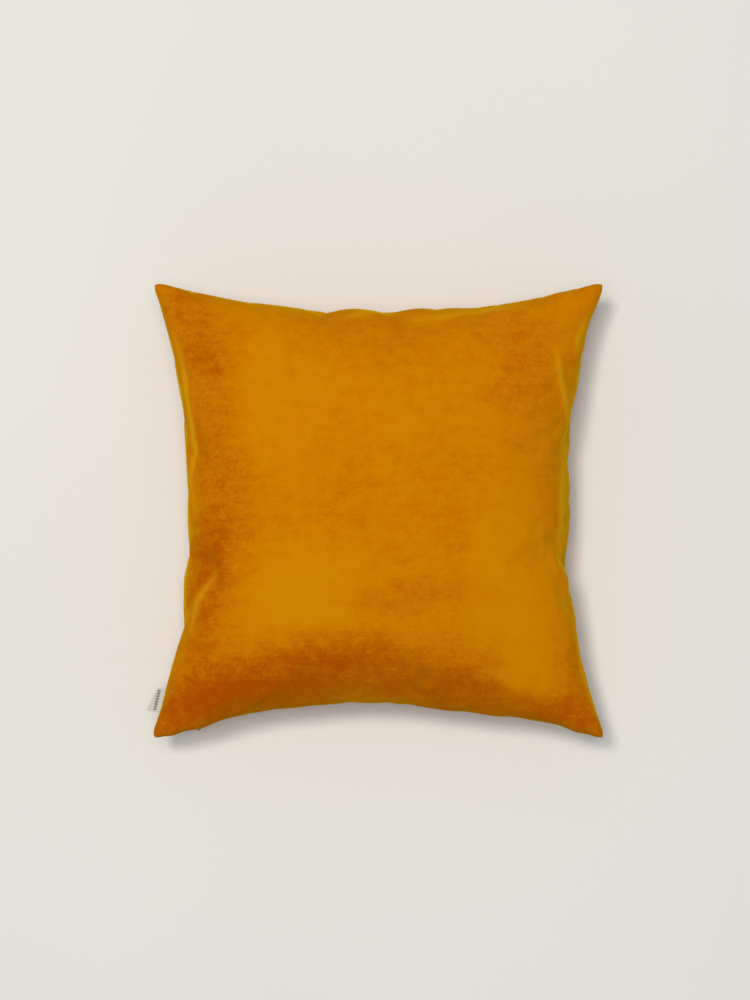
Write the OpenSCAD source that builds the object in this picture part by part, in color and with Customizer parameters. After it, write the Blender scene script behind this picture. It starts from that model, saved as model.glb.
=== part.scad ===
// Square velvet cushion: a zipped cover around a filled insert, each sewn from a front and a back panel.
// It lies on its back, front face up (+Z), the zip edge towards -Y and the sewn-in label at the lower left.
// The origin is the centre of the flat patch that it rests on.

/* [Cushion] */
// Width of the filled cushion between its corner tips
corner_w = 474; // [390:1:620]
// Height of the filled cushion between its corner tips, from the zip edge to the far edge
corner_h = 480; // [390:1:620]
// Thickness through the middle, as it lies
thickness = 146; // [110:1:190]
// Height of the side seam above the surface that it lies on
seam_z = 64; // [50:1:80]
// How far the weight sinks the back, which sets how wide the flat patch is
sink = 8; // [4:0.5:14]
// How far the left side bows in between its corners
bow_left = 34; // [20:1:50]
// How far the right side bows in between its corners
bow_right = 40; // [20:1:50]
// How far the far side bows in between its corners
bow_top = 30; // [20:1:50]
// How far the zip side bows in between its corners
bow_zip = 42; // [28:1:50]

/* [Cover] */
// Thickness of the velvet with its pile
cover_t = 1; // [0.6:0.1:1.4]
// Space between a panel and its seam allowance, and between loose layers
ply_gap = 0.2; // [0.1:0.05:0.4]
// Gap between the two panels at a sewn seam, which the thread fills
seam_gap = 0.6; // [0.4:0.1:1]
// Seam allowance, as a share of the way from the edge to the middle
allowance_share = 0.015; // [0.01:0.001:0.02]
// Thickness of the sewing thread
thread_t = 0.5; // [0.3:0.05:0.6]

/* [Zip] */
// Length of the zip between the outer ends of its stops
zip_len = 380; // [250:1:390]
// Opening between the two folds that cover the zip
zip_gap = 3; // [2.8:0.1:4]
// Depth of the slider's outer plate behind the folds' edge
zip_depth = 4.2; // [4:0.1:5]
// Width of one half of the chain
coil_w = 1.8; // [1.4:0.1:2]
// Thickness of the chain
coil_t = 2; // [1.6:0.1:2.4]
// Slit between the two halves, where the slider's divider runs
chain_slit = 1.2; // [1:0.1:1.6]
// Width of one tape
tape_w = 11; // [9:0.5:13]
// Thickness of a tape
tape_t = 0.6; // [0.4:0.1:0.8]
// Length of a stop along the chain
stop_len = 2.5; // [2:0.1:4]

/* [Slider and pull] */
// Length of the slider along the chain
slider_len = 9; // [8:0.1:12]
// Width of the slider
slider_w = 7.2; // [6.8:0.1:8]
// Thickness of each slider plate
plate_t = 0.8; // [0.6:0.1:1]
// Running clearance between the slider and what it slides on
slide_clear = 0.2; // [0.15:0.05:0.4]
// Radius of the pull's cross bar
bar_r = 0.6; // [0.5:0.05:0.7]
// Radial clearance of the bar in the slider's eye
bar_clear = 0.08; // [0.05:0.01:0.1]
// Width of the pull
pull_w = 4.4; // [4:0.1:6]
// Length of the pull from its bar to its tip
pull_len = 13; // [10:0.5:22]
// Thickness of the pull
pull_t = 1.2; // [1:0.1:1.3]
// Angle that the pull stands out from the edge at rest
pull_rest = 20; // [5:1:40]

/* [Labels] */
// Distance of the side label's middle below the cushion's middle
label_y = 201; // [120:1:210]
// Width of the side label along the seam
label_w = 26; // [15:1:32]
// How far the side label stands out of the seam
label_out = 12; // [8:0.5:20]
// Thickness of the folded side label, both plies
label_t = 0.5; // [0.3:0.05:0.5]
// Length of its tails inside the seam
label_tail = 8; // [5:0.5:9]
// Width of the care label along the seam
care_w = 28; // [20:1:40]
// Thickness of the care label
care_t = 0.4; // [0.3:0.05:0.5]
// Width of the insert's label along its seam
insert_label_w = 24; // [15:1:35]
// How far the insert's label stands out of its seam
insert_label_out = 5; // [3:0.5:7]

/* [Insert] */
// How far the insert's outline lies inside the cover's
insert_inset = 13; // [12.5:0.5:20]
// Thickness of the insert's casing
casing_t = 0.6; // [0.4:0.1:0.8]
// Space between the cover and the insert at the middle
insert_clear = 0.5; // [0.3:0.1:1]
// Space between the insert's seam and its filling
filling_clear = 2.5; // [2:0.1:5]

/* [Hidden] */
half_w = corner_w / 2;
half_h = corner_h / 2;
// the zip side is a true arc, so that the slider can ride it about one axis
zip_radius = (half_w * half_w + bow_zip * bow_zip) / (2 * bow_zip);
zip_centre_y = bow_zip - half_h - zip_radius;
zip_half_angle = zip_len / 2 / zip_radius * 180 / PI;
per_side = 16;
columns = 4 * per_side;
// how square and how full the crown is: higher powers are fuller
plan_power = 2.6;
crown_power = 0.5;
allowance_r = 1 - allowance_share;
cover_rings = [0.3, 0.5, 0.65, 0.78, 0.88, 0.94, 0.97, allowance_r];
filling_rings = [0.3, 0.5, 0.65, 0.8, 0.91, 0.965];
insert_rings = concat(filling_rings, [allowance_r]);
top_z = thickness - seam_z;
front = 1;
back = -1;
casing_drop = cover_t + insert_clear;
filling_drop = casing_drop + 2 * casing_t + 2 * ply_gap;
filling_inset = insert_inset + 2 * casing_t + ply_gap + filling_clear;
// depths behind the edge, from the slider's outer plate inwards
coil_in = zip_depth + plate_t + slide_clear;
tape_in = coil_in + coil_t + 0.1;
inner_plate_in = tape_in + tape_t + slide_clear;
chain_half = chain_slit / 2 + coil_w;
tape_straight = slider_w / 2 + 0.6;
tape_lean = 0.5;
bar_out = 2;
eye_r = bar_r + bar_clear;
eye_wall = 0.7;
neck_t = 1.4;
slider_at = zip_len / 2 - stop_len - slide_clear - slider_len / 2;
label_hinge_out = 0.4;

// place of a column on a unit square, anticlockwise from the lower left corner
function column(i) =
    let (k = i % columns, side = floor(k / per_side), s = 2 * (k % per_side) / per_side - 1)
    side == 0 ? [s, -1] : side == 1 ? [1, s] : side == 2 ? [-s, 1] : [-1, -s];

function bow_x(u, v) = (u < 0 ? bow_left : bow_right) * (1 - v * v);
function bow_y(u, v) = v > 0
    ? bow_top * (1 - u * u)
    : sqrt(zip_radius * zip_radius - pow(u * half_w, 2)) - zip_radius + bow_zip;

// point of the unit square (u, v), bent to the cushion's outline and drawn in by inset
function plan(u, v, inset) =
    [u * (half_w - inset - bow_x(u, v)), v * (half_h - inset - bow_y(u, v))];

// height of the crown as a share, 1 in the middle and 0 at the edge
function crown(u, v) =
    pow(max(0, (1 - pow(abs(u), plan_power)) * (1 - pow(abs(v), plan_power))), crown_power);

// half of the gap between the panels: wide along the zip
function half_gap(c, wide) =
    c[1] < -abs(c[0]) && abs(c[0]) * half_w < zip_len / 2 + corner_w / per_side ? wide : seam_gap / 2;

// point at column c and share r of the way out, drawn in by inset and down by drop, on the front or the back
function shell(c, r, side, inset, drop, wide, lift = 0) =
    let (f = crown(c[0] * r, c[1] * r), p = plan(c[0] * r, c[1] * r, inset))
    let (rise = side > 0 ? top_z - drop : seam_z + sink - drop)
    let (z = seam_z + side * ((half_gap(c, wide) + lift) * (1 - f) + rise * f))
    [p[0], p[1], drop > 0 ? max(z, drop) : z];

function ring(r, side, inset, drop, wide, lift = 0) =
    [for (i = [0 : columns - 1]) shell(column(i), r, side, inset, drop, wide, lift)];

function reversed(list) = [for (i = [len(list) - 1 : -1 : 0]) list[i]];

function pole(side, drop) =
    [0, 0, side > 0 ? thickness - drop : drop > 0 ? drop : -sink];

// closed skin from one pole through a list of rings to the other
module loft(start, rings, end, side) {
    n = len(rings[0]);
    last = len(rings) - 1;
    points = concat([start], [for (r = rings) each r], [end]);
    faces = concat(
        [for (j = [0 : n - 1]) [0, 1 + (j + 1) % n, 1 + j]],
        [for (i = [0 : last - 1], j = [0 : n - 1], half = [0, 1])
            let (a = 1 + i * n + j, b = 1 + i * n + (j + 1) % n, c = b + n, d = a + n)
            half == 0 ? [a, b, c] : [a, c, d]],
        [for (j = [0 : n - 1]) [1 + last * n + j, 1 + last * n + (j + 1) % n, 1 + (last + 1) * n]]
    );
    polyhedron(points, side > 0 ? faces : [for (f = faces) reversed(f)]);
}

// four-sided bar through a list of cross-sections, joined end to end or capped
module bar(sections, closed) {
    n = len(sections);
    m = len(sections[0]);
    runs = closed ? n : n - 1;
    sides = [for (i = [0 : runs - 1], j = [0 : m - 1], half = [0, 1])
        let (k = (i + 1) % n, l = (j + 1) % m, a = i * m + j, b = i * m + l, c = k * m + l, d = k * m + j)
        half == 0 ? [a, c, b] : [a, d, c]];
    caps = closed ? [] : [[for (j = [0 : m - 1]) j], [for (j = [m - 1 : -1 : 0]) (n - 1) * m + j]];
    polyhedron([for (s = sections) each s], concat(sides, caps));
}

// one panel: the face, the fold at the seam and the allowance turned back inside
module panel(side, inset, drop, t, rings, wide) {
    double = 2 * t + ply_gap;
    inner = t + ply_gap;
    loft(
        pole(side, drop),
        concat(
            [for (r = rings) ring(r, side, inset, drop, wide)],
            [
                ring(1, side, inset, drop, wide),
                ring(1, side, inset + double, drop, wide),
                ring(allowance_r, side, inset + double, drop + double, wide),
                ring(allowance_r, side, inset + inner, drop + inner, wide),
                ring(1, side, inset + inner, drop, wide, t),
                ring(1, side, inset + t, drop, wide, t)
            ],
            [for (r = reversed(rings)) ring(r, side, inset + t, drop + t, wide)]
        ),
        pole(side, drop + t),
        side
    );
}

// thread along the seam, from one column round to another
module seam_thread(from_column, to_column, inset) {
    closed = to_column - from_column == columns;
    bar(
        [for (i = [from_column : closed ? to_column - 1 : to_column])
            let (c = column(i), near = plan(c[0], c[1], inset), far = plan(c[0], c[1], inset + thread_t))
            [
                [near[0], near[1], seam_z - thread_t / 2],
                [far[0], far[1], seam_z - thread_t / 2],
                [far[0], far[1], seam_z + thread_t / 2],
                [near[0], near[1], seam_z + thread_t / 2]
            ]],
        closed
    );
}

// thread wrapped along the raw edge of an allowance
module overlock(side) {
    r_in = allowance_r - 0.0045;
    r_out = allowance_r - 0.0015;
    near = cover_t + 3 * ply_gap;
    far = near + thread_t;
    sections = [for (i = [0 : columns - 1]) let (c = column(i)) [
        shell(c, r_out, side, near, near, zip_gap / 2),
        shell(c, r_out, side, far, far, zip_gap / 2),
        shell(c, r_in, side, far, far, zip_gap / 2),
        shell(c, r_in, side, near, near, zip_gap / 2)
    ]];
    bar(side > 0 ? sections : [for (s = sections) reversed(s)], true);
}

// piece swept along the zip between two distances from its middle; x is the depth behind the edge
module along_zip(from_mm, to_mm) {
    start = from_mm / zip_radius * 180 / PI;
    sweep = (to_mm - from_mm) / zip_radius * 180 / PI;
    translate([0, zip_centre_y, seam_z])
        rotate([0, 0, 90 - start - sweep])
            rotate_extrude(angle = sweep, $fn = 720)
                translate([zip_radius, 0])
                    children();
}

// children stand at a distance along the zip, x along it, y inwards and z up
module on_zip(at_mm) {
    translate([0, zip_centre_y, seam_z])
        rotate([0, 0, -at_mm / zip_radius * 180 / PI])
            translate([0, zip_radius, 0])
                children();
}

module both_sides() {
    children();
    mirror([0, 1]) children();
}

module tape_profile() {
    lean = (tape_w - tape_straight) * tape_lean;
    polygon([
        [tape_in, chain_slit / 2],
        [tape_in + tape_t, chain_slit / 2],
        [tape_in + tape_t, tape_straight],
        [tape_in + tape_t + lean, tape_w],
        [tape_in + lean, tape_w],
        [tape_in, tape_straight]
    ]);
}

module coil_profile() {
    round_r = 0.5;
    translate([coil_in + round_r, chain_slit / 2]) square([coil_t - 2 * round_r, coil_w]);
    translate([coil_in, chain_slit / 2]) square([coil_t, coil_w - round_r]);
    for (x = [coil_in + round_r, coil_in + coil_t - round_r])
        translate([x, chain_slit / 2 + coil_w - round_r]) circle(round_r, $fn = 24);
}

// rounded plate lying across the chain, its outer face at the given depth
module slider_plate(depth) {
    corner = 1.4;
    translate([0, depth + plate_t, 0]) rotate([90, 0, 0]) linear_extrude(plate_t) {
        square([slider_len - 2 * corner, slider_w], center = true);
        square([slider_len, slider_w - 2 * corner], center = true);
        for (x = [-1, 1], y = [-1, 1])
            translate([x * (slider_len / 2 - corner), y * (slider_w / 2 - corner)]) circle(corner, $fn = 32);
    }
}

// frame on the left seam at the side label, x outwards and y along the seam
module at_side_label() {
    v = -label_y / half_h;
    translate([-half_w + bow_left * (1 - v * v), -label_y, seam_z])
        rotate([0, 0, 180 - atan(2 * bow_left * label_y / (half_h * half_h))])
            children();
}

module cover_front() {
    color("orange") panel(front, 0, 0, cover_t, cover_rings, zip_gap / 2);
}

module cover_back() {
    color("darkorange") difference() {
        panel(back, 0, 0, cover_t, cover_rings, zip_gap / 2);
        translate([-half_w, -half_h, -2 * sink]) cube([corner_w, corner_h, 2 * sink]);
    }
}

module cover_seam_stitching() {
    color("goldenrod") seam_thread(per_side - 1, columns + 1, cover_t / 2);
}

module cover_overlock_threads() {
    color("goldenrod") {
        overlock(front);
        overlock(back);
    }
}

module zip_tape_front() {
    color("sienna") along_zip(-zip_len / 2, zip_len / 2) tape_profile();
}

module zip_tape_back() {
    color("sienna") along_zip(-zip_len / 2, zip_len / 2) mirror([0, 1]) tape_profile();
}

module zip_coil_front() {
    color("saddlebrown") along_zip(stop_len - zip_len / 2, zip_len / 2 - stop_len) coil_profile();
}

module zip_coil_back() {
    color("saddlebrown")
        along_zip(stop_len - zip_len / 2, zip_len / 2 - stop_len) mirror([0, 1]) coil_profile();
}

// chain stitch that holds each coil to its tape, beside the coil
module zip_coil_threads() {
    color("sienna") along_zip(stop_len - zip_len / 2, zip_len / 2 - stop_len) both_sides()
        translate([tape_in - 0.05 - thread_t / 2, chain_half + 0.05 + thread_t / 2])
            circle(thread_t / 2 - 0.02, $fn = 16);
}

// row of stitches that holds each tape to its fold, lying on the leaning part of the tape
module zip_tape_stitching() {
    at = (tape_straight + tape_w) / 2;
    color("goldenrod") along_zip(-zip_len / 2, zip_len / 2) both_sides()
        translate([tape_in + (at - tape_straight) * tape_lean - thread_t, at])
            circle(thread_t / 2, $fn = 16);
}

module zip_top_stops() {
    color("silver") along_zip(-zip_len / 2, stop_len - slide_clear - zip_len / 2) both_sides()
        translate([coil_in, chain_slit / 2]) square([coil_t, coil_w]);
}

module zip_bottom_stop() {
    color("silver") along_zip(zip_len / 2 - stop_len + slide_clear, zip_len / 2)
        translate([coil_in, -chain_half]) square([coil_t, 2 * chain_half]);
}

// dense bars of thread that close the seam at both ends of the zip
module zip_bar_tacks() {
    gap = 0.1;
    for (end = [-1, 1])
        color("goldenrod") on_zip(end * (zip_len / 2 + 3))
            translate([-1, cover_t / 2, gap - zip_gap / 2]) cube([2, cover_t, zip_gap - 2 * gap]);
}

module zip_slider_body() {
    rail_t = slider_w / 2 - chain_half - slide_clear - thread_t - 0.1;
    color("silver") on_zip(-slider_at) difference() {
        union() {
            slider_plate(zip_depth);
            slider_plate(inner_plate_in);
            // divider between the two halves of the chain
            translate([-slider_len / 2 + 1.5, zip_depth, slide_clear - chain_slit / 2])
                cube([2.4, inner_plate_in + plate_t - zip_depth, chain_slit - 2 * slide_clear]);
            // rails that hold the chain from the sides
            for (side = [-1, 1])
                translate([1.4 - slider_len / 2, zip_depth, side * (slider_w - rail_t) / 2 - rail_t / 2])
                    cube([slider_len - 2.8, plate_t + coil_t / 2, rail_t]);
            // neck out through the folds, with the eye for the pull
            translate([-eye_r - eye_wall, -bar_out, -neck_t / 2])
                cube([2 * (eye_r + eye_wall), bar_out + zip_depth + plate_t / 2, neck_t]);
            translate([0, -bar_out, -neck_t / 2]) cylinder(r = eye_r + eye_wall, h = neck_t, $fn = 48);
        }
        translate([0, -bar_out, -neck_t]) cylinder(r = eye_r, h = 2 * neck_t, $fn = 48);
    }
}

module zip_pull() {
    arm_gap = neck_t / 2 + slide_clear;
    arm_len = eye_r + eye_wall + 1;
    eye_w = 1.6;
    color("sienna") on_zip(-slider_at) translate([0, -bar_out, 0]) rotate([0, 0, 180 + pull_rest]) {
        cylinder(r = bar_r, h = pull_w, center = true, $fn = 32);
        for (side = [-1, 1])
            translate([0, 0, side * (arm_gap + pull_w / 2) / 2]) {
                cylinder(r = pull_t / 2, h = pull_w / 2 - arm_gap, center = true, $fn = 32);
                translate([0, -pull_t / 2, (arm_gap - pull_w / 2) / 2])
                    cube([arm_len + 0.5, pull_t, pull_w / 2 - arm_gap]);
            }
        difference() {
            translate([arm_len, pull_t / 2, 0]) rotate([90, 0, 0]) linear_extrude(pull_t) {
                translate([0, -pull_w / 2]) square([pull_len - arm_len - pull_w / 2, pull_w]);
                translate([pull_len - arm_len - pull_w / 2, 0]) circle(pull_w / 2, $fn = 48);
            }
            // hole near the tip
            translate([pull_len - pull_w / 2, pull_t, 0]) rotate([90, 0, 0])
                cylinder(r = eye_w / 2, h = 2 * pull_t, $fn = 32);
        }
    }
}

module side_label() {
    color("gainsboro") at_side_label()
        translate([label_hinge_out + 0.1, -label_w / 2, -label_t / 2])
            cube([label_out - label_hinge_out - 0.1, label_w, label_t]);
}

module side_label_tails() {
    color("gainsboro") at_side_label()
        translate([-label_tail, -label_w / 2, -label_t / 2])
            cube([label_tail - 0.3, label_w, label_t]);
}

// long label that hangs from the left seam inside the cover, on the back
module care_label() {
    inset = insert_inset * 0.55;
    across = care_w / corner_h * 2;
    steps = [for (r = [0.83 : 0.03 : 0.95]) r];
    drop = cover_t + insert_clear / 2;
    function at(v, r, more) = shell([-1, v], r, back, inset + more, drop + more, seam_gap / 2);
    color("white") bar(
        [for (r = steps) [
            at(across / 2, r, 0),
            at(-across / 2, r, 0),
            at(-across / 2, r, care_t),
            at(across / 2, r, care_t)
        ]],
        false
    );
}

module insert_casing_front() {
    color("ivory") panel(front, insert_inset, casing_drop, casing_t, insert_rings, seam_gap / 2);
}

module insert_casing_back() {
    color("ivory") panel(back, insert_inset, casing_drop, casing_t, insert_rings, seam_gap / 2);
}

module insert_seam_stitching() {
    color("white") seam_thread(0, columns, insert_inset + casing_t / 2);
}

module insert_filling() {
    color("snow") loft(
        pole(front, filling_drop),
        concat(
            [for (r = filling_rings) ring(r, front, filling_inset, filling_drop, seam_gap / 2)],
            [[for (i = [0 : columns - 1]) let (c = column(i), p = plan(c[0], c[1], filling_inset))
                [p[0], p[1], seam_z]]],
            [for (r = reversed(filling_rings)) ring(r, back, filling_inset, filling_drop, seam_gap / 2)]
        ),
        pole(back, filling_drop),
        front
    );
}

// label in the insert's right seam
module insert_label() {
    v = 0.3;
    p = plan(1, v, insert_inset);
    color("white") translate([p[0], p[1], seam_z])
        rotate([0, 0, atan(-2 * bow_right * v / half_h)])
            translate([-casing_t, -insert_label_w / 2, -label_t / 2])
                cube([casing_t + insert_label_out, insert_label_w, label_t]);
}

cover_front();
cover_back();
cover_seam_stitching();
cover_overlock_threads();
zip_tape_front();
zip_tape_back();
zip_coil_front();
zip_coil_back();
zip_coil_threads();
zip_tape_stitching();
zip_top_stops();
zip_bottom_stop();
zip_bar_tacks();
zip_slider_body();
zip_pull();
side_label();
side_label_tails();
care_label();
insert_casing_front();
insert_casing_back();
insert_seam_stitching();
insert_filling();
insert_label();
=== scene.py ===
import math

import bmesh
import bpy
import numpy as np
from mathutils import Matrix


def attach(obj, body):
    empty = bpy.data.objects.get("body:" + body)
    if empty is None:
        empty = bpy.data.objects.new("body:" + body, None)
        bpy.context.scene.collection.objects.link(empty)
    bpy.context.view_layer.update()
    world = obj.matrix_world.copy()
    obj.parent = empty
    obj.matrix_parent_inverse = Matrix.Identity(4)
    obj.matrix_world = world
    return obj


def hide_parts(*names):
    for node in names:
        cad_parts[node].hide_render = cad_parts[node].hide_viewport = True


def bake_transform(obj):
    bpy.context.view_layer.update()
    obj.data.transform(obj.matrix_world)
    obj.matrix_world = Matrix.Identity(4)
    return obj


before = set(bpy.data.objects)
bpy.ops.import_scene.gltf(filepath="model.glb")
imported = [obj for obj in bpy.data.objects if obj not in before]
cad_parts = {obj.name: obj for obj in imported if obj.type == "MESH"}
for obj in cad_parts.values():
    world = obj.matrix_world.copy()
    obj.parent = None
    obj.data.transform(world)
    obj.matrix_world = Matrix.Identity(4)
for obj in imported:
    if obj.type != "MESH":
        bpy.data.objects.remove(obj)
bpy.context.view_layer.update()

# Square velvet cushion with a zip, its filled insert and its labels, lying on a pale floor.
# Everything is in metres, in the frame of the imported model: +Z is up, the zip is towards -Y.

print("frame loaded")

studio = {
    "aim": (-0.0037, 0.0116, 0.064),  # what the camera looks down at
    "viewHeight": 1.055,  # height of the view at the seam, in metres
    "lens": 85.0,
    "sensor": 36.0,
    "floorSize": 7.0,
    "keyPlace": (-1.15, 1.15, 4.8),
    "keySize": 0.95,
    "keyPower": 80.0,
    "keyColour": (1.0, 0.955, 0.88),
    "fillPlace": (-0.35, 0.45, 5.0),  # wide and nearly overhead, so it throws little shadow
    "fillSize": 2.6,
    "fillPower": 132.0,
    "skyStrength": 0.31,
    "skyColour": (0.80, 0.96, 1.10, 1.0),
}


def lookFrom(aim, distance):
    data = bpy.data.cameras.new("camera")
    data.lens, data.sensor_width = studio["lens"], studio["sensor"]
    data.clip_start, data.clip_end = 0.05, 50
    camera = bpy.data.objects.new("camera", data)
    camera.location = (aim[0], aim[1], aim[2] + distance)
    bpy.context.scene.collection.objects.link(camera)
    bpy.context.scene.camera = camera


def softLight(name, place, size, power, colour=(1, 1, 1)):
    data = bpy.data.lights.new(name, "AREA")
    data.shape, data.size, data.energy, data.color = "DISK", size, power, colour
    lamp = bpy.data.objects.new(name, data)
    lamp.location = place
    away = lamp.location.normalized()
    lamp.rotation_mode = "QUATERNION"
    lamp.rotation_quaternion = away.to_track_quat("Z", "Y")
    bpy.context.scene.collection.objects.link(lamp)


lookFrom(studio["aim"], studio["viewHeight"] * studio["lens"] / studio["sensor"])
softLight("keyLight", studio["keyPlace"], studio["keySize"], studio["keyPower"], studio["keyColour"])
softLight("fillLight", studio["fillPlace"], studio["fillSize"], studio["fillPower"], studio["keyColour"])
world = bpy.data.worlds.new("studio")
world.use_nodes = True
world.node_tree.nodes["Background"].inputs["Color"].default_value = studio["skyColour"]
world.node_tree.nodes["Background"].inputs["Strength"].default_value = studio["skyStrength"]
bpy.context.scene.world = world
bpy.context.scene.view_settings.view_transform = "Standard"


class Wire:
    # a socket in a material, so that maths on it is written as plain Python
    def __init__(self, finish, socket):
        self.finish, self.socket = finish, socket

    def maths(self, operation, *values, clamp=False):
        settings = {"operation": operation, "use_clamp": clamp}
        return self.finish.node("ShaderNodeMath", settings, dict(enumerate(values)))

    def __add__(self, other): return self.maths("ADD", self, other)
    def __sub__(self, other): return self.maths("SUBTRACT", self, other)
    def __rsub__(self, other): return self.maths("SUBTRACT", other, self)
    def __mul__(self, other): return self.maths("MULTIPLY", self, other)
    def sine(self): return self.maths("SINE", self)
    def positive(self): return self.maths("ABSOLUTE", self)
    def wrapped(self, step): return self.maths("PINGPONG", self, step)
    def clipped(self): return self.maths("ADD", self, 0.0, clamp=True)


class Finish:
    # one material being put together
    def __init__(self, name):
        self.material = bpy.data.materials.new(name)
        self.material.use_nodes = True
        self.tree = self.material.node_tree
        self.tree.nodes.clear()

    def node(self, kind, settings=None, inputs=None, output=0):
        made = self.tree.nodes.new(kind)
        for key, value in (settings or {}).items():
            setattr(made, key, value)
        for key, value in (inputs or {}).items():
            if isinstance(value, Wire):
                self.tree.links.new(value.socket, made.inputs[key])
            else:
                made.inputs[key].default_value = value
        return Wire(self, made.outputs[output]) if made.outputs else None

    def place(self, scale=(1, 1, 1), turn=(0, 0, 0), source="Object"):
        at = self.node("ShaderNodeTexCoord", output=source)
        return self.node("ShaderNodeMapping", None, {"Vector": at, "Rotation": turn, "Scale": scale})

    def noise(self, vector, scale, detail=3.0, rough=0.5, bend=0.0):
        return self.node("ShaderNodeTexNoise", None, {
            "Vector": vector, "Scale": scale, "Detail": detail, "Roughness": rough, "Distortion": bend})

    def ranged(self, value, low, high, toLow=0.0, toHigh=1.0):
        return self.node("ShaderNodeMapRange", {"interpolation_type": "SMOOTHSTEP"}, {
            "Value": value, "From Min": low, "From Max": high, "To Min": toLow, "To Max": toHigh})

    def mixed(self, share, first, second):
        return self.node("ShaderNodeMix", {"data_type": "RGBA"}, {0: share, 6: first, 7: second}, output=2)

    def axes(self, vector):
        split = self.tree.nodes.new("ShaderNodeSeparateXYZ")
        self.tree.links.new(vector.socket, split.inputs[0])
        return [Wire(self, out) for out in split.outputs]

    def bump(self, height, distance, strength):
        return self.node("ShaderNodeBump", None, {"Height": height, "Distance": distance, "Strength": strength})

    def finished(self, **inputs):
        names = {"Base": "Base Color", "Sheen": "Sheen Weight"}
        shader = self.node("ShaderNodeBsdfPrincipled", None, {
            names.get(key, key).replace("_", " "): value for key, value in inputs.items()})
        self.node("ShaderNodeOutputMaterial", None, {"Surface": shader})
        return self.material


velvetLook = {
    "plain": (0.572, 0.190, 0.0006, 1),
    "dark": (0.390, 0.068, 0.0005, 1),
    "light": (0.590, 0.240, 0.0008, 1),
    "rim": (0.580, 0.252, 0.0040, 1),  # painted sheen on steep cloth; shadeRim below is painted shade on the steep cloth towards the zip
    "shadeRim": (0.370, 0.115, 0.0006, 1),
    # the next colour is the painted sheen highlight on ridges, seams and right-facing rims
    "paintedSheen": (0.690, 0.345, 0.0060, 1),
    "pileBump": 0.00035,
    "mottleScale": 80, "fineScale": 300, "cloudScale": 7, "streakScale": (18, 130, 40),
    "roughness": 0.92, "sheen": 0.45, "sheenSpread": 0.30, "sheenTint": (1.0, 0.72, 0.0, 1),
    "wanderX": 0.08, "wanderY": 0.06,  # how far the outlines of the patches wander
    # brushed patches of the pile: middle x, y, half sizes, turn, how strong; minus is lighter
    "patches": [
        (-0.165, 0.050, 0.022, 0.105, 0.10, 0.62), (-0.176, -0.085, 0.016, 0.060, -0.15, 0.80),
        (0.146, 0.132, 0.024, 0.045, 0.0, 0.55), (-0.110, -0.172, 0.060, 0.016, 0.12, 0.85),
        (-0.030, -0.138, 0.050, 0.014, -0.10, 0.75), (0.090, -0.190, 0.110, 0.014, -0.22, 0.50),
        (-0.190, -0.215, 0.030, 0.014, 0.35, 0.8), (0.196, -0.215, 0.030, 0.022, -0.7, 0.5),
        (0.030, -0.085, 0.075, 0.010, -0.06, 0.35), (-0.185, 0.195, 0.020, 0.050, 0.5, 0.65),
        (-0.085, -0.085, 0.045, 0.030, 0.2, -0.7), (0.128, -0.055, 0.030, 0.055, -0.15, -0.7),
        (0.165, -0.130, 0.022, 0.060, -0.30, -0.6), (-0.135, 0.165, 0.030, 0.050, 0.3, -0.3),
        (0.020, 0.120, 0.110, 0.050, 0.0, -0.15), (-0.030, -0.196, 0.170, 0.014, 0.0, 0.50),
        (-0.150, -0.200, 0.060, 0.018, 0.25, 0.45), (-0.050, -0.165, 0.110, 0.018, 0.0, 0.40),
    ],
}


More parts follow.
